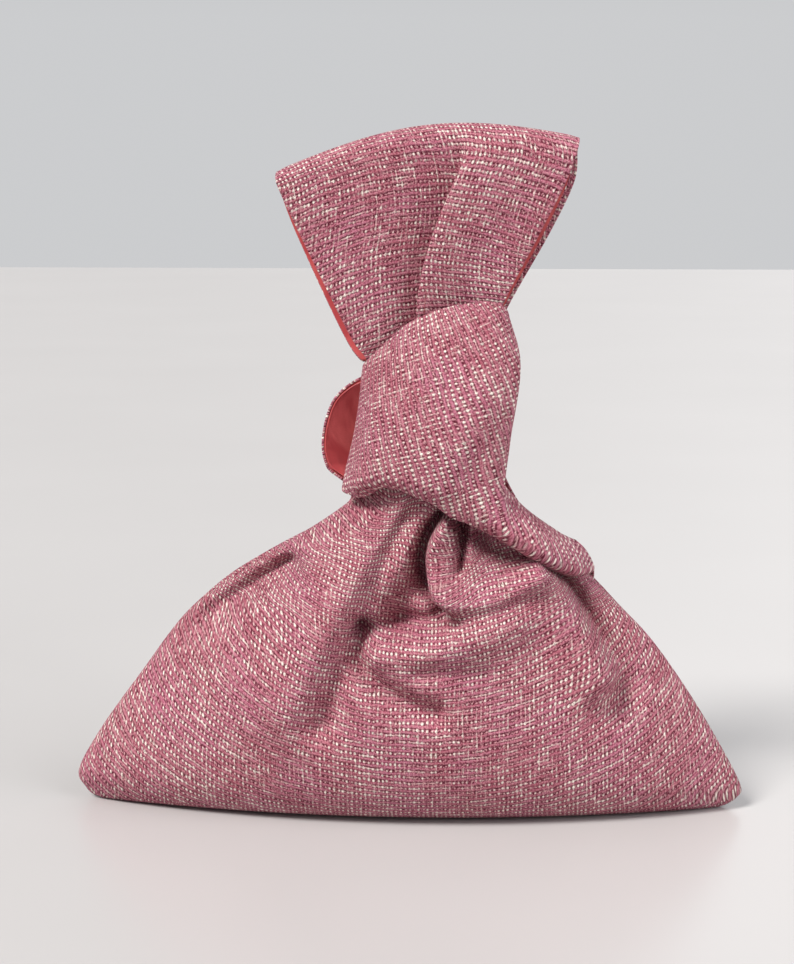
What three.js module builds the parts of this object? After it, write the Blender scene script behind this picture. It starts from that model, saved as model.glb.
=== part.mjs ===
// Knotted cloth handbag: a soft pouch of two panels, a long handle standing up as a flattened loop,
// and a short handle wrapped round the neck as the knot.
// Millimetres. X runs to the viewer's right, Y to the back, Z up. Z = 0 is the surface it stands on.
import * as THREE from "three";

// Cloth
const TWEED = 2.2;
const SATIN = 1.0;
const GAP = 0.3;
const SEAM_HALF_GAP = 0.15;

// Turns a list of column names and rows of values into row objects.
const table = (columns, rows) =>
  rows.map((values) => Object.fromEntries(columns.map((column, i) => [column, values[i]])));

// Panel sections, from the bottom seam up. Each section runs from its left edge to its right edge and
// stands out by mid_y at its middle, where its height is mid_z. full below 1 makes the section boxier.
const SECTION_COLUMNS = [
  "left_x", "left_y", "left_z", "right_x", "right_y", "right_z", "mid_y", "mid_z", "full"];
const FRONT_SECTIONS = table(SECTION_COLUMNS, [
  [-140, 0, 0, 140, 0, 0, 0, 0, 0.8],          // bottom seam
  [-144, 0, 0.5, 143, 0, 0.5, -22, 0, 0.75],   // edge of the resting patch
  [-148, 0, 4, 148, 0, 4, -35, 6, 0.72],
  [-151.5, 0, 13, 150, 0, 10, -43, 20, 0.7],     // pointed bottom corners
  [-141.5, 0, 32, 141, 0, 28, -47, 42, 0.7],   // belly
  [-123, 0, 58, 126, 0, 53, -45, 67, 0.72],
  [-98, 0, 90, 109, 0, 77, -41, 91, 0.75],     // shoulders
  [-64, 0, 114, 95, 0, 92, -35, 112, 0.75],
  [-27, 0, 139, 81, 0, 106, -29, 131, 0.8],    // ends of the side seams
  [-20, -4, 154, 57, -4, 128, -24, 147, 0.8]]); // top edge, tucked under the knot
const BACK_SECTIONS = table(SECTION_COLUMNS, [
  [-140, 0, 0, 140, 0, 0, 0, 0, 0.8],          // bottom seam
  [-144, 0, 0.5, 143, 0, 0.5, 24, 0, 0.75],    // edge of the resting patch
  [-148, 0, 4, 148, 0, 4, 36, 6, 0.72],
  [-151.5, 0, 13, 150, 0, 10, 44, 20, 0.7],      // pointed bottom corners
  [-141.5, 0, 32, 141, 0, 28, 47, 42, 0.7],    // belly
  [-123, 0, 58, 126, 0, 53, 44, 67, 0.72],
  [-98, 0, 90, 109, 0, 77, 37, 91, 0.75],      // shoulders
  [-64, 0, 114, 95, 0, 92, 31, 112, 0.75],
  [-27, 0, 139, 81, 0, 106, 26, 131, 0.8],     // ends of the side seams
  [-37.5, 4, 153, 63, 7, 116, 23, 143, 0.8],   // free edges of the neck
  [-39.5, 7, 167, 47, 11, 132, 20, 156, 0.8],  // bulge at the left of the knot
  [-35.5, 8, 183, 38, 12, 156, 18, 172, 0.8],
  [-18.5, 9, 194.5, 36, 13, 182, 16.5, 190, 0.8], // pinched by the knot
  [-12, 12.5, 202, 35, 13, 203, 16, 202, 0.8]]); // top edge, inside the knot

// Folds of the front panel in the front view: a curved path from start by bend to finish, the half width of the
// fold and its height out of the cloth at both ends. A fold with a height below zero is a hollow.
const FOLD_COLUMNS = [
  "start_x", "start_z", "bend_x", "bend_z", "finish_x", "finish_z",
  "start_width", "finish_width", "start_height", "finish_height"];
const FRONT_FOLDS = table(FOLD_COLUMNS, [
  [-9, 146, -29, 118, -58, 62, 12, 24, 7, 5],        // left drape
  [-4, 134, -18, 109, -37, 50, 10, 12, -4, -6],      // valley beside the left drape
  [20, 134, 8, 116, 20, 100, 8, 9, 6, 5],            // lobe left of the pocket
  [27, 134, 28, 127, 28, 120, 9, 9, -6, -5],         // pocket under the knot
  [14, 106, 32, 97, 55, 111, 9, 9, 5, 4],            // rim of the pocket
  [26, 85, 38, 87, 48, 92, 12, 10, 4, 4],            // mound under the rim
  [52, 114, 63, 100, 82, 64, 9, 12, 5, 6],           // right ridge
  [62, 113, 75, 93, 92, 59, 9, 12, -7, -6],          // valley beside the right ridge
  [-21, 87.5, -25, 63, 13, 53, 9, 9, -4, -4],        // crease round the left mound
  [-54, 112, -70, 103, -90, 88, 9, 9, -5, -4]]);     // valley along the left side seam
const BACK_FOLDS = table(FOLD_COLUMNS, [
  [10, 150, -25, 110, -60, 60, 16, 24, 5, 2],      // left drape
  [20, 150, 20, 105, 15, 60, 10, 14, -5, -2],      // middle valley
  [34, 145, 55, 105, 80, 55, 14, 20, 5, 2]]);      // right drape

// Long handle stations, from its foot under the knot up the front leaf, over the top and down the back leaf.
// y is the depth of the leaf, bow lifts its middle, crest is the place of the pleat across the strap,
// and overlap and relief are the sideways and outward size of the pleat.
const HANDLE_COLUMNS = [
  "left_x", "left_z", "right_x", "right_z", "left_y", "right_y", "bow", "crest", "overlap", "relief"];
const HANDLE_STATIONS = table(HANDLE_COLUMNS, [
  [-11, 170, 34, 174, -8, -9, 0, 0.45, 1, 3],          // front foot
  [-13, 199.5, 37, 204, -6.5, -9, 0, 0.45, 2, 5],
  [-25.3, 213, 39.5, 224, -7, -9, 1, 0.48, 4, 7],
  [-45.5, 254, 57.5, 256, -8, -10, 2, 0.58, 5, 8],
  [-55, 274.5, 68.5, 279.5, -9, -10, 6, 0.63, 3, 5],
  [-57.5, 281, 72, 293.5, -7.5, -8.5, 11, 0.63, 1, 2],
  [-58.2, 284.2, 73.2, 299, 0, 0, 12.3, 0.6, 0, 0],    // top fold
  [-58.4, 281, 72.5, 293.5, 7.5, 8.5, 11, 0.6, 0, 0],
  [-56.8, 274.5, 70.5, 279.5, 11, 12, 6, 0.6, 0, 0],
  [-49.3, 254, 59, 256, 14, 14, 2, 0.6, 0, 0],
  [-30.3, 214, 41.5, 222, 9.5, 10.5, 0, 0.6, 0, 0],
  [-12.5, 203, 36, 204, 6, 9, 0, 0.6, 0, 0],
  [-10, 184, 33, 184, 6.6, 8.5, 0, 0.6, 0, 0]]);       // back foot
const PLEAT_WIDTH = 0.1;

// Short handle stations, from the right shoulder across the front, round the neck and down the back to the shoulder.
// Each station crosses the strap from its low edge by its middle to its high edge.
const WRAP_COLUMNS = [
  "low_x", "low_y", "low_z", "mid_x", "mid_y", "mid_z", "high_x", "high_y", "high_z"];
const WRAP_STATIONS = table(WRAP_COLUMNS, [
  [81, -0.2, 108, 78, -0.2, 114.5, 73, -0.2, 120.5],    // front end at the right shoulder
  [72.5, -15, 110, 70.5, -13, 117.5, 65.5, -5, 125],
  [58, -30, 119, 54.5, -26, 129.5, 47, -11, 140],
  [44, -36, 128, 41, -29, 144, 36.5, -8, 158],
  [31, -38, 135, 42, -26, 166, 41.5, -2, 188],          // roll at the right of the knot
  [21, -38, 138, 44, -28, 190, 42.5, -4, 213],
  [12, -36, 142, 30, -37, 184, 39.5, -12, 226],
  [2, -34, 146, 13, -36, 183, 21, -17, 226],            // front face
  [-9, -30, 149, -3, -31, 180, 3, -15.5, 219.5],
  [-19, -24, 147, -13, -25, 176, -8.5, -13, 210],
  [-26, -13, 144.5, -19.5, -14, 172, -15.2, -9.5, 202.5],
  [-27.5, -4, 150, -22.5, -4, 172, -17, -2, 199.5],   // left fold
  [-18, 6, 197.5, -17.3, 6, 200, -16.2, 6, 202.3],        // pinch
  [-12, 17.5, 189, -12, 17.5, 200, -12, 11, 209],
  [4, 22.5, 176, 7, 20, 196, 10, 12.6, 216],                // band behind the neck
  [15, 25, 158, 24, 22, 178, 32, 16.5, 199],
  [25, 29.5, 133, 32, 26.5, 147, 36.5, 18, 160],
  [38, 32.5, 112, 45, 29.7, 123, 49, 22.3, 132],          // down to the right shoulder
  [57, 30.2, 98, 61, 25.6, 112, 62, 18.4, 123],
  [78.5, 17.6, 98, 75.5, 16, 110.5, 69.5, 11, 120],
  [81, 0.2, 108, 78, 0.2, 114.5, 73, 0.2, 120.5]]);     // back end at the right shoulder

// Samples across and along each sheet
const FRONT_ACROSS = 32;
const FRONT_PER_SECTION = 3;
const BACK_ACROSS = 26;
const BACK_PER_SECTION = 2;
const HANDLE_ACROSS = 14;
const HANDLE_PER_STATION = 2;
const WRAP_ACROSS = 10;
const WRAP_PER_STATION = 2;

// Smooth value of one column at the fraction t of the way through the rows.
function along(rows, column, t) {
  const place = THREE.MathUtils.clamp(t, 0, 1) * (rows.length - 1);
  const i = Math.min(Math.floor(place), rows.length - 2);
  const f = place - i;
  const value = (k) => rows[THREE.MathUtils.clamp(k, 0, rows.length - 1)][column];
  const [before, from, to, after] = [value(i - 1), value(i), value(i + 1), value(i + 2)];
  const slopeFrom = (to - before) / 2;
  const slopeTo = (after - from) / 2;
  return from + f * slopeFrom
    + f * f * (3 * (to - from) - 2 * slopeFrom - slopeTo)
    + f * f * f * (2 * (from - to) + slopeFrom + slopeTo);
}

// All columns of a table at the fraction t.
function station(rows, t) {
  const columns = Object.keys(rows[0]);
  return Object.fromEntries(columns.map((column) => [column, along(rows, column, t)]));
}

// Outward normal of a surface at (u, v).
function normalOf(surface, u, v, step = 0.004) {
  const across = surface(Math.min(u + step, 1), v).sub(surface(Math.max(u - step, 0), v));
  const upward = surface(u, Math.min(v + step, 1)).sub(surface(u, Math.max(v - step, 0)));
  return across.cross(upward).normalize();
}

// Height of the folds at a point of the front view.
function foldHeight(folds, x, z) {
  const point = new THREE.Vector2(x, z);
  const steps = 14;
  let height = 0;
  for (const fold of folds) {
    const path = new THREE.QuadraticBezierCurve(
      new THREE.Vector2(fold.start_x, fold.start_z),
      new THREE.Vector2(fold.bend_x, fold.bend_z),
      new THREE.Vector2(fold.finish_x, fold.finish_z));
    let nearest = Infinity;
    let share = 0;
    for (let i = 0; i < steps; i++) {
      const from = path.getPoint(i / steps);
      const leg = path.getPoint((i + 1) / steps).sub(from);
      const f = THREE.MathUtils.clamp(point.clone().sub(from).dot(leg) / leg.lengthSq(), 0, 1);
      const distance = point.distanceTo(from.addScaledVector(leg, f));
      if (distance < nearest) {
        nearest = distance;
        share = (i + f) / steps;
      }
    }
    const width = THREE.MathUtils.lerp(fold.start_width, fold.finish_width, share);
    const size = THREE.MathUtils.lerp(fold.start_height, fold.finish_height, share);
    height += size * Math.exp(-((nearest / width) ** 2) * 1.4);
  }
  return height;
}

// Half of the pouch. side is -1 for the front and 1 for the back.
function panelSurface(sections, folds, side) {
  const plain = (u, v) => {
    const s = station(sections, v);
    const bulge = Math.sin(Math.PI * u) ** s.full;
    const edgeY = THREE.MathUtils.lerp(s.left_y, s.right_y, u);
    const edgeZ = THREE.MathUtils.lerp(s.left_z, s.right_z, u);
    const meanY = (s.left_y + s.right_y) / 2;
    const meanZ = (s.left_z + s.right_z) / 2;
    return new THREE.Vector3(
      THREE.MathUtils.lerp(s.left_x, s.right_x, u),
      side * SEAM_HALF_GAP + edgeY + (s.mid_y - meanY) * bulge,
      Math.max(0, edgeZ + (s.mid_z - meanZ) * bulge));
  };
  return (u, v) => {
    const point = plain(u, v);
    const hem = Math.min(1, 6 * u, 6 * (1 - u));
    const lift = Math.min(1, point.z / 25);
    const height = foldHeight(folds, point.x, point.z) * hem * lift;
    return point.addScaledVector(normalOf(plain, u, v), -side * height);
  };
}

// Long handle: u runs across the strap, v from the front foot over the top to the back foot.
function handleSurface(u, v) {
  const s = station(HANDLE_STATIONS, v);
  const bump = (centre) => Math.exp(-(((u - centre) / PLEAT_WIDTH) ** 2));
  const valley = bump(s.crest - PLEAT_WIDTH);
  const crest = bump(s.crest + PLEAT_WIDTH);
  return new THREE.Vector3(
    THREE.MathUtils.lerp(s.left_x, s.right_x, u) + s.overlap * (valley - crest),
    THREE.MathUtils.lerp(s.left_y, s.right_y, u) + s.relief / 2 * (valley - crest),
    THREE.MathUtils.lerp(s.left_z, s.right_z, u) + s.bow * Math.sin(Math.PI * u));
}

// Short handle: u runs from the low edge to the high edge, v once round the neck from the right shoulder.
function wrapSurface(u, v) {
  const s = station(WRAP_STATIONS, v);
  const across = (low, mid, high) =>
    low * (1 - u) * (1 - 2 * u) + mid * 4 * u * (1 - u) + high * u * (2 * u - 1);
  return new THREE.Vector3(
    across(s.low_x, s.mid_x, s.high_x),
    across(s.low_y, s.mid_y, s.high_y),
    across(s.low_z, s.mid_z, s.high_z));
}

// Closed sheet of cloth between two depths under a surface. facing is 1 where the surface's own normal points out
// of the bag and -1 where it points in. keep adjusts each point, such as at a seam.
function clothSheet(surface, { across, up, facing, top, bottom, toU = 1, fromV = 0, keep = (p) => p }) {
  const positions = [];
  const index = [];
  const at = (layer, i, j) => (layer * (up + 1) + j) * (across + 1) + i;
  for (const depth of [top, bottom]) {
    for (let j = 0; j <= up; j++) {
      for (let i = 0; i <= across; i++) {
        const u = toU * i / across;
        const v = fromV + (1 - fromV) * j / up;
        const point = surface(u, v).addScaledVector(normalOf(surface, u, v), -facing * depth);
        positions.push(...keep(point).toArray());
      }
    }
  }
  const quad = (a, b, c, d) => (facing > 0 ? index.push(a, b, c, a, c, d) : index.push(a, c, b, a, d, c));
  for (let j = 0; j < up; j++) {
    for (let i = 0; i < across; i++) {
      quad(at(0, i, j), at(0, i + 1, j), at(0, i + 1, j + 1), at(0, i, j + 1));
      quad(at(1, i, j), at(1, i, j + 1), at(1, i + 1, j + 1), at(1, i + 1, j));
    }
    quad(at(0, 0, j), at(0, 0, j + 1), at(1, 0, j + 1), at(1, 0, j));
    quad(at(0, across, j), at(1, across, j), at(1, across, j + 1), at(0, across, j + 1));
  }
  for (let i = 0; i < across; i++) {
    quad(at(0, i, 0), at(1, i, 0), at(1, i + 1, 0), at(0, i + 1, 0));
    quad(at(0, i, up), at(0, i + 1, up), at(1, i + 1, up), at(1, i, up));
  }
  const geometry = new THREE.BufferGeometry();
  geometry.setAttribute("position", new THREE.Float32BufferAttribute(positions, 3));
  geometry.setIndex(index);
  return geometry;
}

// Pieces
const front = panelSurface(FRONT_SECTIONS, FRONT_FOLDS, -1);
const back = panelSurface(BACK_SECTIONS, BACK_FOLDS, 1);
const inFront = (p) => p.setY(Math.min(p.y, -SEAM_HALF_GAP));
const behind = (p) => p.setY(Math.max(p.y, SEAM_HALF_GAP));
const NECK_SECTIONS = 4;
const NECK_SIDE = 0.5;

const pieces = {
  front_panel: clothSheet(front, {
    across: FRONT_ACROSS, up: FRONT_PER_SECTION * (FRONT_SECTIONS.length - 1),
    facing: 1, top: 0, bottom: TWEED, keep: inFront }),
  back_panel: clothSheet(back, {
    across: BACK_ACROSS, up: BACK_PER_SECTION * (BACK_SECTIONS.length - 1),
    facing: -1, top: 0, bottom: TWEED, keep: behind }),
  long_handle: clothSheet(handleSurface, {
    across: HANDLE_ACROSS, up: HANDLE_PER_STATION * (HANDLE_STATIONS.length - 1),
    facing: 1, top: 0, bottom: TWEED }),
  // The strap's table gives its inner face, so its cloth lies outside the surface.
  short_handle: clothSheet(wrapSurface, {
    across: WRAP_ACROSS, up: WRAP_PER_STATION * (WRAP_STATIONS.length - 1),
    facing: 1, top: -TWEED, bottom: 0 }),
  long_handle_lining: clothSheet(handleSurface, {
    across: HANDLE_ACROSS, up: HANDLE_PER_STATION * (HANDLE_STATIONS.length - 1),
    facing: 1, top: TWEED + GAP, bottom: TWEED + GAP + SATIN }),
  neck_lining: clothSheet(back, {
    across: BACK_ACROSS * NECK_SIDE, up: BACK_PER_SECTION * NECK_SECTIONS,
    facing: -1, top: TWEED + GAP, bottom: TWEED + GAP + SATIN,
    toU: NECK_SIDE, fromV: 1 - NECK_SECTIONS / (BACK_SECTIONS.length - 1) }),
};

const bag = new THREE.Group();
for (const [name, geometry] of Object.entries(pieces)) {
  const mesh = new THREE.Mesh(geometry);
  mesh.name = name;
  bag.add(mesh);
}
export default bag;
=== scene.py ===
"""Knotted tweed handbag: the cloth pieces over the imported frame, their materials, the light and the camera.

Sizes in the tables are millimetres in the frame's axes: X to the viewer's right, Y to the back, Z up.
"""

import bpy
import numpy as np
from mathutils import Matrix, Vector


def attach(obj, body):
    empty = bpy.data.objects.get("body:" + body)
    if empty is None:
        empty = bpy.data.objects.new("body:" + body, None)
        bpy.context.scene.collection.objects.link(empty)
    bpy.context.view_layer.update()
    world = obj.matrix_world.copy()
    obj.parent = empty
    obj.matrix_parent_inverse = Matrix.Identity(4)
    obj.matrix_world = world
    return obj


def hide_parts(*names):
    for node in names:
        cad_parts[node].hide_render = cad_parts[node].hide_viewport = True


MM = 0.001  # metres in a millimetre
TINY = 1e-9

# Sides of the pouch, as the sign of Y
FRONT = -1
BACK = 1

# Cloth
TWEED = 2.2  # thickness
SATIN = 1.0  # thickness
GAP = 0.3  # between the tweed and its lining
SEAM_HALF_GAP = 0.15  # between each panel and the plane of the seams
EDGE_STEPS = 4  # points round each edge
EDGE_PRESS = 0.45  # share of the thickness that is pressed out of a side edge
EDGE_WIDTH = 3.0  # reach of that press
TURNED_EDGE = 1.4  # tweed turned in at the right edge of the long handle

# Folds
FOLD_STEPS = 40  # legs of a fold's path
FOLD_FALL = 1.4  # how quickly a fold falls off beside its path
SEAM_FADE = 12  # folds fade out over a twelfth of the width beside each seam
FLOOR_FADE = 25  # and over this height above the floor

# Roll of cloth beside the left seam, at the shoulder. Its place and width are shares of the panel's width.
ROLL_HEIGHT = 3.0
ROLL_PLACE = 0.03
ROLL_WIDTH = 0.022
ROLL_LEVEL = 104
ROLL_REACH = 18
ROLL_WAY = (-0.6, 0, 0.8)

# Weave
ROW_PITCH = 2.85
DOT_PITCH = 1.95
ROW_BEND = 0.0034  # bow of the rows on the long handle
ROW_ROUND = 0.92  # how round the rows of the panels hang about the knot
ROW_TURN = 80.0  # least radius of those rows
ROW_LEAN = 17.0  # degrees, on the short handle
KNOT_X = 9.0  # upright line about which the weave turns
KNOT_LEVEL = 165.0
KNOT_RADIUS = 37.0
WRAP_BLEND = 0.05  # share of the short handle's length over which its two layouts meet
FOLD_SHARE = 0.25  # share of the folds' extra length that the weave follows
FOLD_SMOOTHING = 12  # samples to each side over which that length is evened out

# Yarns: how far they wander, and how far they and the satin's creases stand out
THREAD_WOBBLE = 1.6
ROW_WOBBLE = 2.4
YARN_RELIEF = 0.6
CREASE_RELIEF = 1.2

# Shares of the yarn's relief
YARN_LIFT = 0.35
DOT_LIFT = 0.6
WARP_LIFT = 0.3
FIBRE_LIFT = 1.2

# Satin's threads as a share of its creases, and the strength of its bump
SATIN_THREAD_LIFT = 0.05
SATIN_BUMP = 0.6

# Cream dots, in shares of the pitches: sway, half size, and how the size goes with the dot's light
DOT_THREAD_SWAY = 0.3
DOT_ROW_SWAY = 0.2
DOT_WIDTH = 0.3
DOT_HEIGHT = 0.24
DOT_LEAST = 0.62
DOT_GROWTH = 0.42
DOT_RAGGED = 4.0
DIP_PLACE = 0.25  # painted shade: a dark line between the dots and the yarn

# Noise in the materials: waves per metre, the detail of the fine ones, and the stretch of the long ones
THREAD_WOBBLE_SCALE = 45.0
ROW_WOBBLE_SCALE = 60.0
MAUVE_SCALE = 38.0
DOT_LIGHT_SCALE = 24.0
ROW_LIGHT_SCALE = 110.0
PATCH_SCALE = 130.0
WARP_LIGHT_SCALE = 120.0
STREAK_SCALE = 1500.0
SPECKLE_SCALE = 1350.0
SATIN_THREAD_SCALE = 5200.0
CREASE_SCALE = 120.0
FLOOR_GRAIN_SCALE = 4.0
FINE_DETAIL = 3.0
STREAK_STRETCH = 0.3
SATIN_THREAD_STRETCH = 0.12
CREASE_STRETCH = 0.4

# How far neighbouring rows or threads lie apart in a noise
ROW_LIGHT_STEP = 1.73
PATCH_STEP = 0.61
WARP_LIGHT_STEP = 1.7

# Samples across and along each sheet
FRONT_GRID = (260, 170)
BACK_GRID = (220, 160)
HANDLE_GRID = (110, 230)
WRAP_GRID = (80, 330)
NECK_GRID = (70, 60)

# Photo's frame
CAMERA_PLACE = (45.09, -964.68, 300.16)
CAMERA_RIGHT = (0.99863, 0.05234, 0.0)
CAMERA_UP = (-0.00819, 0.15622, 0.98769)
CAMERA_BACK = (0.05169, -0.98633, 0.15643)
CAMERA_CLIP = 0.01
FOCAL_PIXELS = 2200
FRAME_HEIGHT = 964
SENSOR = 36.0

# Light: the strength of the sky up to the horizon's level and from the sky's level on, and the distant lamps,
# each with the way to it, its strength, its softness as an angle and its tint
HORIZON_LEVEL = 0.05
SKY_LEVEL = 0.45
HORIZON_LIGHT = 0.62
SKY_LIGHT = 0.32
SKY_TINT = (0.97, 0.98, 1.0)
LAMPS = {
    "key": ((-0.7, -0.62, 1.1), 3.95, 0.35, (1.0, 0.985, 0.96)),
    "fill": ((1.0, -0.5, 0.7), 1.65, 0.8, SKY_TINT),
    "back": ((0.4, 1.0, 0.7), 0.45, 0.9, SKY_TINT),
}
FLOOR_REACH = 4.0  # metres


def table(columns, rows):
    """Turns rows of values into one array for each named column."""
    names = columns.split()
    return {name: np.array([row[i] for row in rows], float) for i, name in enumerate(names)}


# Panel sections, from the bottom seam up. Each section runs from its left edge to its right edge. mid_y and
# mid_z are the depth and the height of its middle. full below 1 makes the section boxier.
SECTION_COLUMNS = "left_x left_y left_z right_x right_y right_z mid_y mid_z full"
FRONT_SECTIONS = table(SECTION_COLUMNS, [
    (-140, 0, 0, 140, 0, 0, 0, 0, 0.8),  # bottom seam
    (-144, 0, 0.5, 143, 0, 0.5, -22, 0, 0.75),  # edge of the resting patch
    (-148, 0, 4, 148, 0, 4, -35, 6, 0.72),
    (-151.5, 0, 13, 150, 0, 10, -43, 20, 0.7),  # pointed bottom corners
    (-141.5, 0, 32, 141, 0, 28, -47, 42, 0.7),  # belly
    (-123, 0, 58, 126, 0, 53, -45, 67, 0.72),
    (-98, 0, 90, 109, 0, 77, -41, 91, 0.75),  # shoulders
    (-64, 0, 114, 95, 0, 92, -35, 112, 0.75),
    (-27, 0, 139, 81, 0, 106, -29, 131, 0.8),  # ends of the side seams
    (-20, -4, 154, 57, -4, 128, -24, 147, 0.8),  # top edge, tucked under the knot
])
BACK_SECTIONS = table(SECTION_COLUMNS, [
    (-140, 0, 0, 140, 0, 0, 0, 0, 0.8),  # bottom seam
    (-144, 0, 0.5, 143, 0, 0.5, 24, 0, 0.75),  # edge of the resting patch
    (-148, 0, 4, 148, 0, 4, 36, 6, 0.72),
    (-151.5, 0, 13, 150, 0, 10, 44, 20, 0.7),  # pointed bottom corners
    (-141.5, 0, 32, 141, 0, 28, 47, 42, 0.7),  # belly
    (-123, 0, 58, 126, 0, 53, 44, 67, 0.72),
    (-98, 0, 90, 109, 0, 77, 37, 91, 0.75),  # shoulders
    (-64, 0, 114, 95, 0, 92, 31, 112, 0.75),
    (-27, 0, 139, 81, 0, 106, 26, 131, 0.8),  # ends of the side seams
    (-37.5, 4, 153, 63, 7, 116, 23, 143, 0.8),  # free edges of the neck
    (-39.5, 7, 167, 47, 11, 132, 20, 156, 0.8),  # bulge at the left of the knot
    (-34, 8, 184, 38, 12, 156, 18, 172, 0.8),
    (-20.5, 9, 194.2, 36, 13, 182, 16.5, 189.5, 0.8),  # pinched by the knot
    (-8, 12.5, 193, 35, 13, 203, 16, 200, 0.8),  # top edge, inside the knot
])
CORNER_ROW = 3

# Linings: the neck's runs over the back panel's last sections, from its left edge to this share of its width,
# and the long handle's stops short of the right edge
NECK_SECTIONS = 4.6
NECK_SIDE = 0.5
LINING_SIDE = 0.965

# Folds in the front view: a curved path from start by bend to finish, and the half width of the fold and its
# height out of the cloth at both ends. A height below zero is a hollow. lean pushes the crest sideways, to
# the left of the path's direction where it is above zero.
FOLD_COLUMNS = ("start_x start_z bend_x bend_z finish_x finish_z "
                "start_width finish_width start_height finish_height lean")
FRONT_FOLDS = table(FOLD_COLUMNS, [
    (-9, 146, -29, 118, -58, 62, 12, 24, 11, 8, 0.6),  # left drape
    (-4, 134, -18, 109, -37, 50, 8, 11, -4, -9, 0),  # valley beside the left drape
    (10, 118, 4, 107, -2, 95, 8, 13, -4, -17, 0),  # sunk cloth between the two valleys
    (17, 137, -5, 116, 18, 95, 3.8, 5, -20, -15, 0),  # curved valley beside the lobe
    (16, 93, 0, 88, -20, 87.5, 4.5, 6, -9, -9, 0),  # crease under the sunk cloth
    (-21, 87.5, -25, 63, 13, 53, 6, 6, -9, -8, 0),  # crease round the left mound
    (20, 134, 8, 116, 20, 100, 4, 6, 7, 6, -0.6),  # lobe left of the pocket
    (24, 137, 25, 125, 23.5, 114, 2.6, 2.6, -20, -8, 0),  # slit of the pocket
    (32, 128, 41, 117, 55, 120, 8, 7, -12, -8, 0),  # hollow of the pocket
    (14, 106, 32, 97, 55, 111, 6, 6, 6, 6, -0.3),  # rim of the pocket
    (26, 85, 38, 87, 48, 92, 12, 10, 7, 6, 0),  # mound under the rim
    (52, 114, 63, 100, 82, 64, 6, 11, 7, 9, 0.8),  # right ridge
    (62, 113, 75, 93, 92, 59, 6, 11, -18, -12, 0),  # valley beside the right ridge
    (-54, 112, -70, 103, -90, 88, 6, 7, -14, -11, 0),  # valley along the left side seam
    (15, 80, 0, 81, -14, 78, 8, 8, 4, 4, 0),  # left mound
    (6, 70, 20, 73, 34, 71, 4, 4, -2.5, -2, 0),  # crease under the mounds
])
BACK_FOLDS = table(FOLD_COLUMNS, [
    (10, 150, -25, 110, -60, 60, 14, 22, 8, 4, 0.3),  # left drape
    (20, 150, 20, 105, 15, 60, 9, 13, -9, -5, 0),  # middle valley
    (34, 145, 55, 105, 80, 55, 12, 19, 8, 4, -0.3),  # right drape
])

# Long handle stations, from its foot under the knot up the front leaf, over the top and down the back leaf.
# y is the depth of the leaf, bow lifts its middle, crest is the place of the pleat across the strap,
# and overlap and relief are the sideways and outward size of the pleat.
HANDLE_COLUMNS = "left_x left_z right_x right_z left_y right_y bow crest overlap relief"
HANDLE_STATIONS = table(HANDLE_COLUMNS, [
    (-11, 170, 34, 174, -8, -9, 0, 0.45, 3, 4),  # front foot
    (-17, 199.5, 37, 204, -6.5, -9, 0, 0.45, 4, 6),
    (-25.3, 213, 39.5, 224, -7, -9, 1, 0.48, 8, 9),
    (-45.5, 254, 55.3, 256, -8, -10, 2, 0.58, 11, 10),
    (-55, 274.5, 67, 279.5, -9, -10, 6, 0.63, 10, 8),
    (-57.5, 281, 72, 293.5, -7.5, -8.5, 11, 0.63, 4, 3),
    (-58.2, 284.2, 73.2, 299, 0, 0, 12.3, 0.6, 0, 0),  # top fold
    (-58.4, 281, 72.5, 293.5, 7.5, 8.5, 11, 0.6, 0, 0),
    (-56.8, 274.5, 71.2, 279.5, 11, 12, 6, 0.6, 0, 0),
    (-49.3, 254, 60.3, 256, 14, 14, 2, 0.6, 0, 0),
    (-30.3, 214, 41.5, 222, 9.5, 10.5, 0, 0.6, 0, 0),
    (-21.3, 200.5, 36, 204, 6.8, 9, 0, 0.6, 0, 0),
    (-11, 195.5, 34.5, 195, 6, 8.5, 0, 0.6, 0, 0),
    (-9, 136, 32, 136, 6, -1, 0, 0.6, 0, 0),  # back foot, twisted inside the knot
])
TOP_ROW = 6
PLEAT_WIDTH = 0.1

# Hem of the short handle: how far its low edge turns in and over which share of the width, and the shares of
# the length at which it ends and over which it fades
HEM_TURN = 5.5
HEM_SHARE = 0.11
HEM_END = 0.52
HEM_FADE = 0.05

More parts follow.
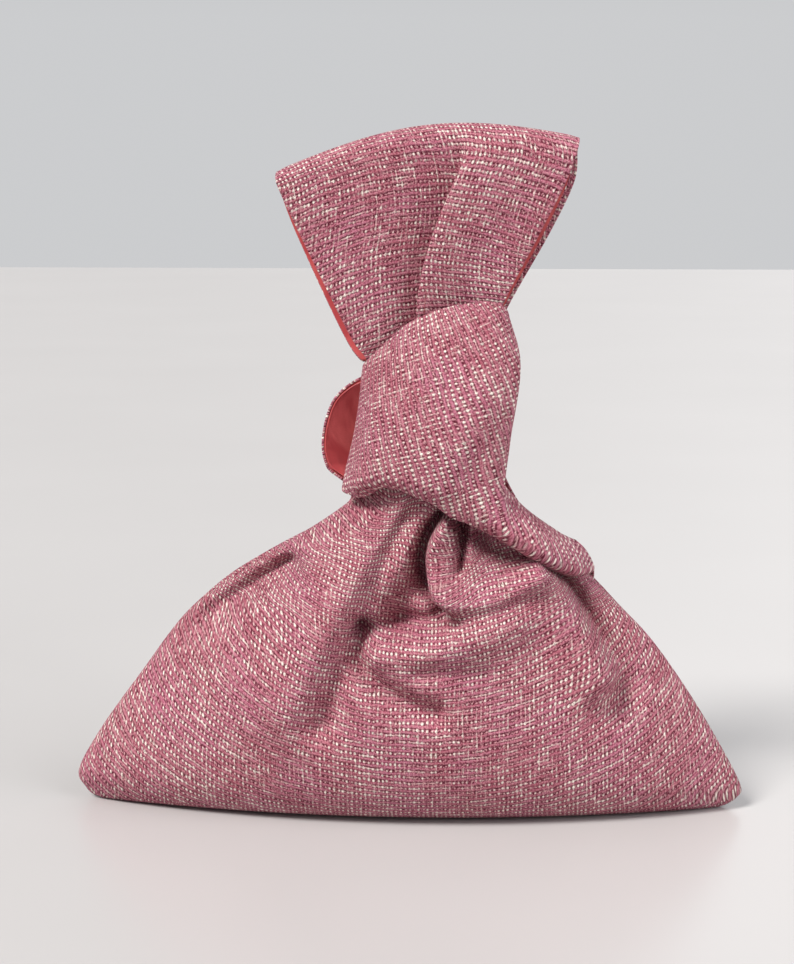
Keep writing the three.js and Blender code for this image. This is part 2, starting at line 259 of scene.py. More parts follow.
# Short handle stations, from the right shoulder across the front, round the neck and down the back to the
# shoulder. Each station crosses the strap from its low edge by its middle to its high edge.
WRAP_COLUMNS = "low_x low_y low_z mid_x mid_y mid_z high_x high_y high_z"
WRAP_STATIONS = table(WRAP_COLUMNS, [
    (81, -0.2, 108, 78, -0.2, 114.5, 73, -0.2, 120.5),  # front end at the right shoulder
    (72.5, -15, 110, 70.5, -13, 117.5, 65.5, -5, 125),
    (58, -30, 119, 54.5, -26, 129.5, 47, -11, 140),
    (44, -36, 128, 41, -29, 144, 36.5, -8, 158),
    (31, -38, 135, 42, -26, 166, 41.5, -2, 188),  # roll at the right of the knot
    (21, -38, 138, 44, -28, 190, 42.5, -4, 213),
    (12, -36, 142, 30, -37, 184, 39.5, -12, 226),
    (2, -34, 146, 13, -36, 183, 21, -17, 226),  # front face
    (-9, -30, 149, -3, -31, 180, 3, -15.5, 219.5),
    (-19, -24, 147, -13, -25, 176, -8.5, -13, 210),
    (-26, -13, 144.5, -19, -14, 172, -17.5, -9.5, 201.3),
    (-27, -4, 150, -21.7, -4, 172, -18, -2, 198),  # left fold
    (-14.5, 6, 193.8, -14, 6, 196, -13.5, 6, 198.2),  # pinch
    (-11.5, 17.5, 188.5, -11.5, 17.5, 199, -11.5, 11.3, 207.5),
    (4, 22.5, 176, 7, 20, 196, 10, 12.6, 216),  # band behind the neck
    (15, 25, 158, 24, 22, 178, 32, 16.5, 199),
    (25, 29.5, 133, 32, 26.5, 147, 36.5, 18, 160),
    (38, 32.5, 112, 45, 29.7, 123, 49, 22.3, 132),  # down to the right shoulder
    (57, 30.2, 98, 61, 25.6, 112, 62, 18.4, 123),
    (78.5, 17.6, 98, 75.5, 16, 110.5, 69.5, 11, 120),
    (81, 0.2, 108, 78, 0.2, 114.5, 73, 0.2, 120.5),  # back end at the right shoulder
])
LEFT_FOLD_ROW = 11


# Surfaces

def along(values, t):
    """Smooth value of one table column at the fractions t of the way through the rows."""
    last = len(values) - 1
    place = np.clip(t, 0, 1) * last
    i = np.minimum(place.astype(int), last - 1)
    f = place - i
    before, start, end, after = (values[np.clip(i + k, 0, last)] for k in (-1, 0, 1, 2))
    slope_start = (end - before) / 2
    slope_end = (after - start) / 2
    return (start + f * slope_start + f ** 2 * (3 * (end - start) - 2 * slope_start - slope_end)
            + f ** 3 * (2 * (start - end) + slope_start + slope_end))


def station(rows, t):
    """All columns of a table at the fractions t."""
    return {name: along(values, t) for name, values in rows.items()}


def row_share(rows, number):
    """Fraction of the way through a table at which a row stands, counted from 0."""
    return number / (len(next(iter(rows.values()))) - 1)


def lerp(a, b, f):
    """Value at the fraction f of the way from a to b."""
    return a + (b - a) * f


def grid(size, to_u=1.0, from_v=0.0):
    """The u and v of each sample of a sheet, u running fastest."""
    across, up = size
    return np.meshgrid(np.linspace(0, to_u, across + 1), np.linspace(from_v, 1, up + 1))


def normals_of(points):
    """Unit normals of a grid of points."""
    across = np.gradient(points, axis=1)
    upward = np.gradient(points, axis=0)
    normal = np.cross(across, upward)
    return normal / np.maximum(np.linalg.norm(normal, axis=2, keepdims=True), TINY)


def fold_shift(folds, points):
    """Height of the folds at each point of the front view, and the push of their crests in X and Z."""
    flat = points[..., [0, 2]]
    height = np.zeros(flat.shape[:2])
    push = np.zeros(flat.shape)
    steps = np.linspace(0, 1, FOLD_STEPS + 1)[:, None]
    for k in range(len(folds["lean"])):
        fold = {name: values[k] for name, values in folds.items()}
        start, bend, finish = (
            np.array([fold[end + "_x"], fold[end + "_z"]]) for end in ("start", "bend", "finish"))
        path = start * (1 - steps) ** 2 + 2 * bend * steps * (1 - steps) + finish * steps ** 2
        nearest = np.full(flat.shape[:2], np.inf)
        share = np.zeros(flat.shape[:2])
        for i in range(FOLD_STEPS):
            leg = path[i + 1] - path[i]
            f = np.clip((flat - path[i]) @ leg / (leg @ leg), 0, 1)
            distance = np.linalg.norm(flat - path[i] - f[..., None] * leg, axis=2)
            closer = distance < nearest
            nearest = np.where(closer, distance, nearest)
            share = np.where(closer, (i + f) / FOLD_STEPS, share)
        width = lerp(fold["start_width"], fold["finish_width"], share)
        size = lerp(fold["start_height"], fold["finish_height"], share)
        lift = size * np.exp(-FOLD_FALL * (nearest / width) ** 2)
        height += lift
        direction = (finish - start) / np.linalg.norm(finish - start)
        push += (fold["lean"] * np.abs(lift))[..., None] * np.array([-direction[1], direction[0]])
    return height, push


def panel(sections, folds, side, u, v, roll=0.0):
    """Half of the pouch, with its folds and without. side is FRONT or BACK, and roll is the height of the
    roll beside the left seam."""
    s = station(sections, v)
    bulge = np.sin(np.pi * u) ** s["full"]
    depth = lerp(s["left_y"], s["right_y"], u) + (s["mid_y"] - (s["left_y"] + s["right_y"]) / 2) * bulge
    level = lerp(s["left_z"], s["right_z"], u) + (s["mid_z"] - (s["left_z"] + s["right_z"]) / 2) * bulge
    points = np.stack([
        lerp(s["left_x"], s["right_x"], u),
        side * SEAM_HALF_GAP + depth,
        np.maximum(0, level),
    ], axis=2)
    from_roll = ((u - ROLL_PLACE) / ROLL_WIDTH) ** 2 + ((points[..., 2] - ROLL_LEVEL) / ROLL_REACH) ** 2
    points += (roll * np.exp(-from_roll))[..., None] * np.array(ROLL_WAY)
    beside_seam = np.minimum(1, SEAM_FADE * np.minimum(u, 1 - u))
    above_floor = np.minimum(1, points[..., 2] / FLOOR_FADE)
    share = beside_seam * above_floor
    height, push = fold_shift(folds, points)
    moved = points.copy()
    moved[..., 1] += side * height * share
    moved[..., [0, 2]] += push * share[..., None]
    return moved, points


def handle(u, v):
    """Long handle: u runs across the strap, v from the front foot over the top to the back foot."""
    s = station(HANDLE_STATIONS, v)
    valley = np.exp(-((u - s["crest"] + PLEAT_WIDTH) / PLEAT_WIDTH) ** 2)
    crest = np.exp(-((u - s["crest"] - PLEAT_WIDTH) / PLEAT_WIDTH) ** 2)
    return np.stack([
        lerp(s["left_x"], s["right_x"], u) + s["overlap"] * (valley - crest),
        lerp(s["left_y"], s["right_y"], u) + s["relief"] / 2 * (valley - crest),
        lerp(s["left_z"], s["right_z"], u) + s["bow"] * np.sin(np.pi * u),
    ], axis=2)


def wrap(u, v):
    """Short handle: u runs from the low edge to the high edge, v round the neck from the right shoulder."""
    s = station(WRAP_STATIONS, v)
    low, mid, high = (1 - u) * (1 - 2 * u), 4 * u * (1 - u), u * (2 * u - 1)
    points = np.stack([
        s["low_" + axis] * low + s["mid_" + axis] * mid + s["high_" + axis] * high for axis in "xyz"], axis=2)
    turned = HEM_TURN * np.clip(1 - u / HEM_SHARE, 0, 1) ** 2 * np.clip((HEM_END - v) / HEM_FADE, 0, 1)
    return points - normals_of(points) * turned[..., None]


# Weave

def smoothed(values, axis, reach):
    """Running mean of a grid along one axis, with bell-shaped weights."""
    weights = np.exp(-2 * (np.arange(-reach, reach + 1) / reach) ** 2)
    weights /= weights.sum()
    return np.apply_along_axis(
        lambda line: np.convolve(np.pad(line, reach, mode="edge"), weights, "valid"), axis, values)


def lengths(points, axis):
    """Length along the cloth from the first row or column of a grid."""
    steps = np.linalg.norm(np.diff(points, axis=axis), axis=2)
    pad = [(1, 0), (0, 0)] if axis == 0 else [(0, 0), (1, 0)]
    return np.cumsum(np.pad(steps, pad), axis=axis)


def fold_length(points, plain, axis):
    """The folds' extra length, as far as the weave follows it. plain is the same cloth without its folds."""
    other_axis = 1 - axis
    return FOLD_SHARE * smoothed(lengths(points, axis) - lengths(plain, axis), other_axis, FOLD_SMOOTHING)


def row_place(points, plain):
    """Place of each point along its row of the weave, from the middle thread."""
    place = lengths(plain, 1) + fold_length(points, plain, 1)
    middle = points.shape[1] // 2
    return place - place[:, middle:middle + 1]


def panel_weave(points, plain, corner):
    """Weave of a panel, whose rows hang in arcs round the knot. Below the row of the bottom corners, given as
    a share of the length, each thread keeps its own length. Above it the threads share the mean length."""
    place = row_place(points, plain)
    upright = [np.interp(KNOT_X, line, row) for line, row in zip(plain[..., 0], place)]
    place = place - np.array(upright)[:, None]
    own = lengths(plain, 0)
    own = own - own[int(corner * len(points))]
    rise = np.linspace(0, 1, len(points))[:, None]
    level = np.where(rise < corner, own, own.mean(axis=1, keepdims=True))
    height = plain[..., 2] - plain[..., 2].mean(axis=1, keepdims=True)
    below = KNOT_LEVEL - level - height - fold_length(points, plain, 0)
    arc = np.sqrt(1 + (ROW_ROUND * place / np.maximum(below, ROW_TURN)) ** 2)
    return np.stack([place, -below * arc], axis=2)


def handle_weave(points):
    """Weave of the long handle, whose rows bow up on both leaves."""
    place = row_place(points, points)
    level = lengths(points, 0).mean(axis=1)
    top = level[int(row_share(HANDLE_STATIONS, TOP_ROW) * len(points))]
    bow = ROW_BEND * np.sin(np.pi * np.interp(level, (0, top, level[-1]), (0, 1, 2)))
    return np.stack([place, level[:, None] + bow[:, None] * place ** 2], axis=2)


def wrap_weave(points):
    """Weave of the short handle, with its rows leaning. It is laid out round the upright line through the
    knot in front, and along the strap's middle line behind the left fold."""
    x, y, height = points[..., 0] - KNOT_X, points[..., 1], points[..., 2]
    radius = (KNOT_RADIUS + np.hypot(x, y)) / 2
    around = radius * np.unwrap(np.arctan2(x, -y), axis=0)
    middle = points.shape[1] // 2
    line = points[:, middle:middle + 1, :2]
    heading = np.gradient(line, axis=0)
    heading /= np.linalg.norm(heading, axis=2, keepdims=True)
    behind = -lengths(line, 0) - ((points[..., :2] - line) * heading).sum(axis=2)
    left_fold = row_share(WRAP_STATIONS, LEFT_FOLD_ROW)
    row = int(left_fold * len(points))
    behind += around[row, middle] - behind[row, middle]
    rise = np.linspace(0, 1, len(points))[:, None]
    around = lerp(around, behind, np.clip((rise - left_fold) / WRAP_BLEND, 0, 1))
    lean = np.radians(ROW_LEAN)
    return np.stack([height * np.cos(lean) - around * np.sin(lean),
                     around * np.cos(lean) + height * np.sin(lean)], axis=2)


# Cloth meshes

def outward(inner_line, edge_line):
    """Unit steps from a line of points to the edge beside it."""
    step = edge_line - inner_line
    return step / np.maximum(np.linalg.norm(step, axis=-1, keepdims=True), TINY)


def rounded_side(middle, half, away):
    """Points round a side edge, for each row of a sheet, from middle plus half to middle minus half."""
    angles = np.linspace(np.pi / 2, -np.pi / 2, EDGE_STEPS + 2)[1:-1, None]
    radius = np.linalg.norm(half, axis=1, keepdims=True)
    return middle[:, None] + half[:, None] * np.sin(angles) + (away * radius)[:, None] * np.cos(angles)


def rounded_end(ring, ring_before, partner, thickness):
    """Rings that close an end of a sheet, from its last ring on."""
    centre = (ring + ring[partner]) / 2
    away = outward((ring_before + ring_before[partner]) / 2, centre)
    radius = np.minimum(np.linalg.norm(ring - centre, axis=1, keepdims=True), thickness / 2)
    angles = np.linspace(0, np.pi / 2, EDGE_STEPS)[1:, None, None]
    return centre + (ring - centre) * np.cos(angles) + away * radius * np.sin(angles)


def ring_faces(count, across, partner):
    """Faces between the rings of a sheet, the row and the place in its ring of each, and the end faces."""
    ring = len(partner)
    row, place = np.meshgrid(np.arange(count - 1), np.arange(ring), indexing="ij")
    after = (place + 1) % ring
    sides = np.stack([row * ring + place, row * ring + after,
                      (row + 1) * ring + after, (row + 1) * ring + place], axis=2)
    ends = []
    for end, order in ((0, 1), (count - 1, -1)):
        for k in range(across - 1):
            corners = np.array([k, partner[k], partner[k + 1], k + 1])
            ends.append((end * ring + corners)[::order])
    return sides.reshape(-1, 4), row.ravel(), place.ravel(), np.array(ends)


def add_mesh(name, points, faces, face_material, weave, materials):
    """A smooth mesh object. weave is the place of each point on the flat cloth."""
    mesh = bpy.data.meshes.new(name)
    mesh.vertices.add(len(points))
    mesh.vertices.foreach_set("co", (points * MM).astype(np.float32).ravel())
    mesh.loops.add(faces.size)
    mesh.loops.foreach_set("vertex_index", faces.astype(np.int32).ravel())
    mesh.polygons.add(len(faces))
    mesh.polygons.foreach_set("loop_start", np.arange(0, faces.size, 4, dtype=np.int32))
    mesh.polygons.foreach_set("material_index", face_material.astype(np.int32))
    mesh.polygons.foreach_set("use_smooth", np.ones(len(faces), bool))
    mesh.update(calc_edges=True)
    uv = mesh.uv_layers.new(name="weave")
    uv.data.foreach_set("uv", (weave[faces.ravel()] * MM).astype(np.float32).ravel())
    mesh.validate()
    for material in materials:
        mesh.materials.append(material)
    piece = bpy.data.objects.new(name, mesh)
    bpy.context.scene.collection.objects.link(piece)
    return piece


def cloth(name, outer, weave, facing, thickness, slot, materials, keep=None, depth=0.0, turned=0.0):
    """One closed sheet under a grid of points, with rounded edges.

    facing is 1 where the grid's own normal points out of the bag, and depth is how far under the grid the
    sheet lies. The outside and the edges take the first material and the inside the second, but for the width
    that is turned in at the right edge. Each ring of points runs along the outside, round the right edge,
    back along the inside and round the left edge. partner gives the like of each point on the other face.
    """
    normal = facing * normals_of(outer)
    from_left = lengths(outer, 1)
    from_right = from_left[:, -1:] - from_left
    from_side = np.minimum(from_left, from_right)
    pressed = 1 - EDGE_PRESS * np.exp(-(from_side[..., None] / EDGE_WIDTH) ** 2)
    top = outer - normal * (depth + thickness * (1 - pressed) / 2)
    bottom = top - normal * thickness * pressed
    if keep:
        top, bottom = keep(top), keep(bottom)
    half = (top - bottom) / 2
    middle = (top + bottom) / 2
    right_side = rounded_side(middle[:, -1], half[:, -1], outward(middle[:, -2], middle[:, -1]))
    left_side = rounded_side(middle[:, 0], -half[:, 0], outward(middle[:, 1], middle[:, 0]))
    rings = np.concatenate([top, right_side, bottom[:, ::-1], left_side], axis=1)

    across = outer.shape[1]
    inside_from = across + EDGE_STEPS
    inside_to = inside_from + across
    partner = np.concatenate([np.arange(inside_to)[::-1], np.arange(inside_to, rings.shape[1])[::-1]])
    first = rounded_end(rings[0], rings[1], partner, thickness)[::-1]
    last = rounded_end(rings[-1], rings[-2], partner, thickness)
    rings = np.concatenate([first, rings, last])

    left_weave = np.repeat(weave[:, :1], EDGE_STEPS, axis=1)
    right_weave = np.repeat(weave[:, -1:], EDGE_STEPS, axis=1)
    ring_weave = np.concatenate([weave, right_weave, weave[:, ::-1], left_weave], axis=1)
    ring_weave = np.pad(ring_weave, ((len(first), len(last)), (0, 0), (0, 0)), mode="edge")

    sides, row, place, ends = ring_faces(len(rings), across, partner)
    turned_samples = np.count_nonzero(from_right.mean(axis=0) < turned)
    inside = (place >= inside_from + turned_samples) & (place < inside_to - 1)
    inside &= (row >= len(first)) & (row < len(rings) - 1 - len(last))
    faces = np.concatenate([sides, ends])[:, ::facing]
    face_material = np.pad(inside.astype(int), (0, len(ends)))
    piece = add_mesh(name, rings.reshape(-1, 3), faces, face_material, ring_weave.reshape(-1, 2), materials)
    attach(piece, "root")
    return piece


# Materials

class Nodes:
    """Short names for the shader nodes that the materials use."""

    MIX_FIRST, MIX_SECOND, MIX_RESULT = 6, 7, 2  # places of the colour sockets on a mix node

    def __init__(self, name):
        self.material = bpy.data.materials.new(name)
        self.material.use_nodes = True
        self.tree = self.material.node_tree
        self.shader = self.tree.nodes["Principled BSDF"]

    def link(self, source, socket):
        """Joins a socket to another node's output, or sets it to a value."""
        if hasattr(source, "is_output"):
            self.tree.links.new(source, socket)
        else:
            socket.default_value = source

    def math(self, operation, *values):
        node = self.tree.nodes.new("ShaderNodeMath")
        node.operation = operation
        for value, socket in zip(values, node.inputs):
            self.link(value, socket)
        return node.outputs[0]

    def times(self, first, second):
        return self.math("MULTIPLY", first, second)

    def centred(self, value):
        return self.math("SUBTRACT", value, 0.5)

    def absolute(self, value):
        return self.math("ABSOLUTE", value)

    def swayed(self, value, noise, amount):
        """A value that a noise from 0 to 1 moves to both sides."""
        return self.math("MULTIPLY_ADD", self.centred(noise), amount, value)

    def ramp(self, value, low, high, to_low=0.0, to_high=1.0):
        """Smooth step from to_low at low to to_high at high."""
        node = self.tree.nodes.new("ShaderNodeMapRange")
        node.interpolation_type = "SMOOTHSTEP"
        for socket, given in zip(node.inputs, (value, low, high, to_low, to_high)):
            self.link(given, socket)
        return node.outputs[0]

    def mix(self, factor, first, second):
        node = self.tree.nodes.new("ShaderNodeMix")
        node.data_type = "RGBA"
        self.link(factor, node.inputs[0])
        self.link(first, node.inputs[self.MIX_FIRST])
        self.link(second, node.inputs[self.MIX_SECOND])
        return node.outputs[self.MIX_RESULT]

    def uv(self):
        node = self.tree.nodes.new("ShaderNodeUVMap")
        node.uv_map = "weave"
        parts = self.tree.nodes.new("ShaderNodeSeparateXYZ")
        self.tree.links.new(node.outputs[0], parts.inputs[0])
        return parts.outputs[0], parts.outputs[1]

    def vector(self, x, y, z=0.0):
        node = self.tree.nodes.new("ShaderNodeCombineXYZ")
        for value, socket in zip((x, y, z), node.inputs):
            self.link(value, socket)
        return node.outputs[0]

    def noise(self, vector, scale, detail=2.0):
        node = self.tree.nodes.new("ShaderNodeTexNoise")
        self.link(vector, node.inputs["Vector"])
        node.inputs["Scale"].default_value = scale
        node.inputs["Detail"].default_value = detail
        return node.outputs[0]

    def white_noise(self, vector):
        node = self.tree.nodes.new("ShaderNodeTexWhiteNoise")
        self.link(vector, node.inputs["Vector"])
        return node.outputs["Value"]

    def bump(self, height, distance, strength=1.0):
        node = self.tree.nodes.new("ShaderNodeBump")
        node.inputs["Strength"].default_value = strength
        node.inputs["Distance"].default_value = distance
        self.link(height, node.inputs["Height"])
        self.tree.links.new(node.outputs[0], self.shader.inputs["Normal"])


def colour(red, green, blue):
    """A colour given in screen values from 0 to 255."""
    def linear(value):
        value /= 255
        return value / 12.92 if value <= 0.04045 else ((value + 0.055) / 1.055) ** 2.4
    return (linear(red), linear(green), linear(blue), 1.0)


RASPBERRY = colour(156, 74, 90)
ROSE = colour(194, 126, 140)
MAUVE = colour(190, 114, 140)
SHADE = colour(88, 22, 40)
CREAM = colour(250, 238, 226)
DUSTY = colour(208, 156, 158)
TAUPE = colour(158, 122, 114)
CORAL = colour(200, 84, 84)
# deeper coral of the satin's threads, and of the painted shade in its creases
DEEP_CORAL = colour(172, 54, 58)
PINK_SHEEN = colour(236, 176, 196)
FLOOR_DARK = colour(184, 181, 180)
FLOOR_LIGHT = colour(190, 187, 186)


def tweed_material():
    """Rows of thick rose yarn with rows of cream dots between them, where the thin warp comes up.

    The last value of a noise's place only sets that noise apart from the others.
    """
    n = Nodes("tweed")
    u, v = n.uv()
    cloth_place = n.vector(u, v)
    wobble = n.noise(cloth_place, THREAD_WOBBLE_SCALE)
    drift = n.noise(n.vector(u, v, 3.0), ROW_WOBBLE_SCALE)
    u = n.swayed(u, wobble, THREAD_WOBBLE * MM)
    v = n.swayed(v, drift, ROW_WOBBLE * MM)
    row = n.math("DIVIDE", v, ROW_PITCH * MM)
    thread = n.math("DIVIDE", u, DOT_PITCH * MM)
    row_number = n.math("FLOOR", row)
    thread_number = n.math("FLOOR", thread)
    chance = n.white_noise(n.vector(thread_number, row_number))
    second_chance = n.white_noise(n.vector(thread_number, row_number, 7.0))
    in_row = n.centred(n.math("FRACT", row))
    in_thread = n.centred(n.math("FRACT", thread))
    from_row = n.absolute(in_row)
    from_thread = n.absolute(in_thread)
    dot_row = n.swayed(in_row, second_chance, DOT_ROW_SWAY)
    dot_thread = n.swayed(in_thread, chance, DOT_THREAD_SWAY)

    # Where the yarn is light, by row and by thread
    row_light = n.vector(n.times(u, ROW_LIGHT_SCALE), n.times(row_number, ROW_LIGHT_STEP))
    row_light = n.noise(row_light, 1.0, FINE_DETAIL)
    patch = n.vector(n.times(u, PATCH_SCALE), n.times(row_number, PATCH_STEP), 9.0)
    patch = n.noise(patch, 1.0, FINE_DETAIL)
    warp_light = n.vector(n.times(thread_number, WARP_LIGHT_STEP), n.times(v, WARP_LIGHT_SCALE), 2.0)
    warp_light = n.noise(warp_light, 1.0)
    streak = n.noise(n.vector(n.times(u, STREAK_STRETCH), v, 1.0), STREAK_SCALE, FINE_DETAIL)
    speckle = n.noise(n.vector(u, v, 1.0), SPECKLE_SCALE, FINE_DETAIL)

    # Thick rose yarn, with painted shade in a dark line where it dips beside the dots' rows
    bar = n.mix(n.ramp(row_light, 0.36, 0.64, 0.25, 0.85), RASPBERRY, ROSE)
    bar = n.mix(n.ramp(n.noise(cloth_place, MAUVE_SCALE), 0.4, 0.7, 0.0, 0.6), bar, MAUVE)
    bar = n.mix(n.ramp(streak, 0.47, 0.62, 0.0, 0.55), bar, RASPBERRY)
    dip_shade = n.ramp(n.absolute(n.math("SUBTRACT", from_row, DIP_PLACE)), 0.1, 0.02)
    bar = n.mix(n.times(dip_shade, n.ramp(second_chance, 0.0, 1.0, 0.35, 0.95)), bar, SHADE)

    # Cream dots and the warp between them
    light = n.math("MULTIPLY_ADD", chance, 0.7, n.ramp(patch, 0.36, 0.66, -0.05, 0.3))
    dot_light = n.noise(n.vector(u, v, 5.0), DOT_LIGHT_SCALE)
    light = n.math("ADD", light, n.ramp(dot_light, 0.4, 0.62, -0.24, 0.16))
    dot_size = n.math("MULTIPLY_ADD", light, DOT_GROWTH, DOT_LEAST)
    across = n.math("DIVIDE", dot_thread, n.times(dot_size, DOT_WIDTH))
    upward = n.math("DIVIDE", dot_row, n.times(dot_size, DOT_HEIGHT))
    spread = n.math("ADD", n.math("POWER", across, 2.0), n.math("POWER", upward, 2.0))
    spread = n.swayed(spread, speckle, DOT_RAGGED)
    dot = n.ramp(spread, 1.5, 0.3)
    dot_colour = n.mix(n.ramp(light, -0.05, 0.75), DUSTY, CREAM)
    warp = n.times(n.ramp(from_thread, 0.2, 0.05), n.ramp(warp_light, 0.5, 0.66, 0.08, 0.6))
    joined = n.times(n.ramp(from_row, 0.15, 0.05), n.ramp(row_light, 0.5, 0.62, 0.0, 0.7))
    warp = n.math("MAXIMUM", warp, joined)

    # Ground of the dots' row with painted shade in the gaps between the dots, basket patches with painted
    # shade between their threads, and threads over the yarn
    ground = n.ramp(from_row, 0.26, 0.17)
    ground = n.times(ground, n.ramp(second_chance, 0.0, 0.6, 0.5, 1.0))
    base = n.mix(ground, bar, n.mix(n.ramp(speckle, 0.45, 0.66), SHADE, ROSE))
    basket = n.ramp(patch, 0.6, 0.7, 0.0, 0.8)
    base = n.mix(n.times(basket, 0.6), base, n.mix(n.ramp(speckle, 0.42, 0.58), SHADE, TAUPE))
    warp = n.math("MAXIMUM", warp, n.times(basket, n.ramp(from_thread, 0.24, 0.08)))
    base = n.mix(warp, base, n.mix(chance, DUSTY, CREAM))
    base = n.mix(dot, base, dot_colour)
    # Painted shade in fine dark specks between the fibres, then pale specks of fibre
    base = n.mix(n.ramp(speckle, 0.5, 0.4, 0.0, 0.6), base, SHADE)
    base = n.mix(n.ramp(speckle, 0.53, 0.64, 0.0, 0.4), base, DUSTY)
    n.link(base, n.shader.inputs["Base Color"])

    # Relief
    yarn = n.math("COSINE", n.times(n.math("FRACT", row), 2 * np.pi))
    height = n.math("MULTIPLY_ADD", yarn, YARN_LIFT, n.times(dot, DOT_LIFT))
    height = n.math("MULTIPLY_ADD", warp, WARP_LIFT, height)
    height = n.math("MULTIPLY_ADD", speckle, FIBRE_LIFT, height)
    n.bump(height, YARN_RELIEF * MM)
    n.shader.inputs["Roughness"].default_value = 0.9
    n.shader.inputs["Sheen Weight"].default_value = 0.1
    n.shader.inputs["Sheen Roughness"].default_value = 0.45
    n.shader.inputs["Sheen Tint"].default_value = PINK_SHEEN
    n.shader.inputs["Specular IOR Level"].default_value = 0.15
    return n.material


def satin_material():
    """Coral satin lining with fine threads and soft creases, with painted shade in the creases' hollows."""
    n = Nodes("satin")
    u, v = n.uv()
    threads = n.noise(n.vector(n.times(u, SATIN_THREAD_STRETCH), v), SATIN_THREAD_SCALE, 1.0)
    creases = n.noise(n.vector(u, n.times(v, CREASE_STRETCH)), CREASE_SCALE)
    # Painted shade: the satin turns deeper coral in the low ground of its creases
    tone = n.mix(n.ramp(creases, 0.35, 0.7), DEEP_CORAL, CORAL)
    tone = n.mix(n.ramp(threads, 0.3, 0.7, 0.0, 0.3), tone, DEEP_CORAL)
    n.link(tone, n.shader.inputs["Base Color"])
    n.link(n.ramp(threads, 0.2, 0.8, 0.36, 0.5), n.shader.inputs["Roughness"])
    height = n.math("MULTIPLY_ADD", threads, SATIN_THREAD_LIFT, creases)
    n.bump(height, CREASE_RELIEF * MM, SATIN_BUMP)
    n.shader.inputs["Sheen Weight"].default_value = 0.3
    n.shader.inputs["Anisotropic"].default_value = 0.4
    return n.material


def floor_material():
    """Pale smooth floor with a faint grain."""
    n = Nodes("floor")
    place = n.tree.nodes.new("ShaderNodeTexCoord").outputs["Object"]
    n.link(n.mix(n.noise(place, FLOOR_GRAIN_SCALE), FLOOR_DARK, FLOOR_LIGHT), n.shader.inputs["Base Color"])
    n.shader.inputs["Roughness"].default_value = 0.3
    return n.material


# Scene

def add_light(name, towards, strength, softness, tint):
    """A distant soft lamp that shines from the given direction."""
    light = bpy.data.lights.new(name, "SUN")
    light.energy = strength
    light.angle = softness
    light.color = tint
    lamp = bpy.data.objects.new(name, light)
    lamp.rotation_euler = (-Vector(towards)).to_track_quat("-Z", "Y").to_euler()
    bpy.context.scene.collection.objects.link(lamp)


def add_floor():
    """Pale floor under the bag."""
    mesh = bpy.data.meshes.new("floor")
    corners = [(x * FLOOR_REACH, y * FLOOR_REACH, 0) for x, y in ((-1, -1), (1, -1), (1, 1), (-1, 1))]
    mesh.from_pydata(corners, [], [(0, 1, 2, 3)])
    mesh.materials.append(floor_material())
    floor = bpy.data.objects.new("floor", mesh)
    bpy.context.scene.collection.objects.link(floor)


def add_sky():
    """Soft light from all round, stronger near the horizon."""
    world = bpy.data.worlds.new("studio")
    world.use_nodes = True
    tree = world.node_tree
    direction = tree.nodes.new("ShaderNodeTexCoord")
    parts = tree.nodes.new("ShaderNodeSeparateXYZ")
    level = tree.nodes.new("ShaderNodeMapRange")
    for socket, value in zip(level.inputs[1:], (HORIZON_LEVEL, SKY_LEVEL, HORIZON_LIGHT, SKY_LIGHT)):
        socket.default_value = value
    background = tree.nodes["Background"]
    background.inputs["Color"].default_value = (*SKY_TINT, 1.0)
    tree.links.new(direction.outputs["Generated"], parts.inputs[0])
    tree.links.new(parts.outputs["Z"], level.inputs[0])
    tree.links.new(level.outputs[0], background.inputs["Strength"])
    bpy.context.scene.world = world


def add_camera():
    """The photo's camera."""
    camera = bpy.data.cameras.new("camera")
    camera.sensor_width = SENSOR
    camera.lens = FOCAL_PIXELS * SENSOR / FRAME_HEIGHT
    camera.clip_start = CAMERA_CLIP
    eye = bpy.data.objects.new("camera", camera)
    turn = Matrix((CAMERA_RIGHT, CAMERA_UP, CAMERA_BACK)).transposed()
    eye.matrix_world = Matrix.Translation(Vector(CAMERA_PLACE) * MM) @ turn.to_4x4()
    bpy.context.scene.collection.objects.link(eye)
    bpy.context.scene.camera = eye
    bpy.context.scene.view_settings.view_transform = "Standard"


def keep_in_front(points):
    """Holds the front panel in front of the seams' plane."""
    points[..., 1] = np.minimum(points[..., 1], -SEAM_HALF_GAP)
    return points


def keep_behind(points):
    """Holds the back panel behind the seams' plane."""
    points[..., 1] = np.maximum(points[..., 1], SEAM_HALF_GAP)
    return points


def add_sheet(name, points, weave, area, held, **options):
    """The cloth in place of one node of the frame, whose own part is hidden."""
    piece = cloth(name + "_cloth", points, weave, **options)
    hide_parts(name)


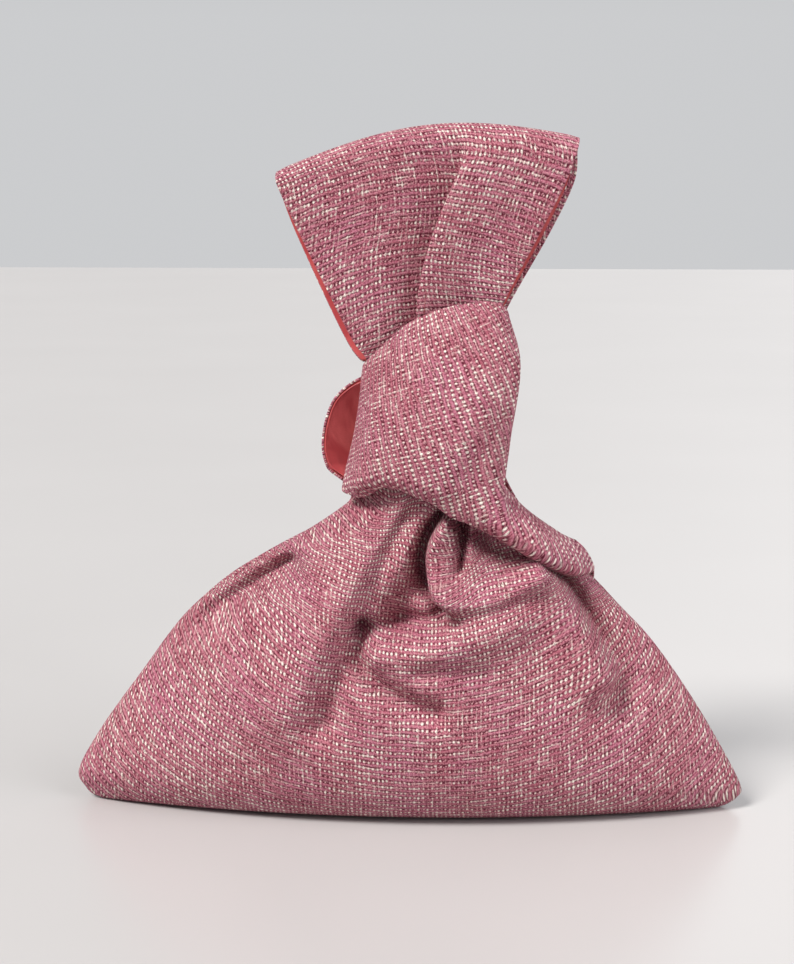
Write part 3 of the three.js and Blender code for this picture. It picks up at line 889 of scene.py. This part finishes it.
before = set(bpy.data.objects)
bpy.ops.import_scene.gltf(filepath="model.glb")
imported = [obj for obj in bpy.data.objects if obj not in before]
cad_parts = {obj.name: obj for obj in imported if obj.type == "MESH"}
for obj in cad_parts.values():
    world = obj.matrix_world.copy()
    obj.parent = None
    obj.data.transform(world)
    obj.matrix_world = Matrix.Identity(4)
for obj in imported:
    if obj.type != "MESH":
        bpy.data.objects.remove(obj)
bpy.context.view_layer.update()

tweed = tweed_material()
satin = satin_material()
outer_cloth = {"thickness": TWEED, "slot": "tweed", "materials": [tweed, satin]}
lining_cloth = {"thickness": SATIN, "slot": "lining", "materials": [satin, satin], "depth": TWEED + GAP}

front_points, front_flat = panel(FRONT_SECTIONS, FRONT_FOLDS, FRONT, *grid(FRONT_GRID))
front_weave = panel_weave(front_points, front_flat, row_share(FRONT_SECTIONS, CORNER_ROW))
back_points, back_flat = panel(BACK_SECTIONS, BACK_FOLDS, BACK, *grid(BACK_GRID), ROLL_HEIGHT)
back_weave = panel_weave(back_points, back_flat, row_share(BACK_SECTIONS, CORNER_ROW))
handle_points = handle(*grid(HANDLE_GRID))
lining_points = handle(*grid(HANDLE_GRID, LINING_SIDE))
wrap_points = wrap(*grid(WRAP_GRID))
neck_from = 1 - row_share(BACK_SECTIONS, NECK_SECTIONS)
neck_points, neck_flat = panel(BACK_SECTIONS, BACK_FOLDS, BACK, *grid(NECK_GRID, NECK_SIDE, neck_from))

add_sheet("front_panel", front_points, front_weave,
          area=0.045, held="gathered", facing=1, keep=keep_in_front, **outer_cloth)
add_sheet("back_panel", back_points, back_weave,
          area=0.048, held="gathered", facing=-1, keep=keep_behind, **outer_cloth)
add_sheet("long_handle", handle_points, handle_weave(handle_points),
          area=0.027, held="folded", facing=1, turned=TURNED_EDGE, **outer_cloth)
add_sheet("short_handle", wrap_points, wrap_weave(wrap_points),
          area=0.016, held="gathered", facing=1, depth=-TWEED, **outer_cloth)
add_sheet("long_handle_lining", lining_points, handle_weave(lining_points),
          area=0.025, held="folded", facing=1, **lining_cloth)
add_sheet("neck_lining", neck_points, panel_weave(neck_points, neck_flat, 0),
          area=0.0024, held="gathered", facing=-1, **lining_cloth)

add_floor()
add_sky()
for lamp_name, lamp_values in LAMPS.items():
    add_light(lamp_name, *lamp_values)
add_camera()
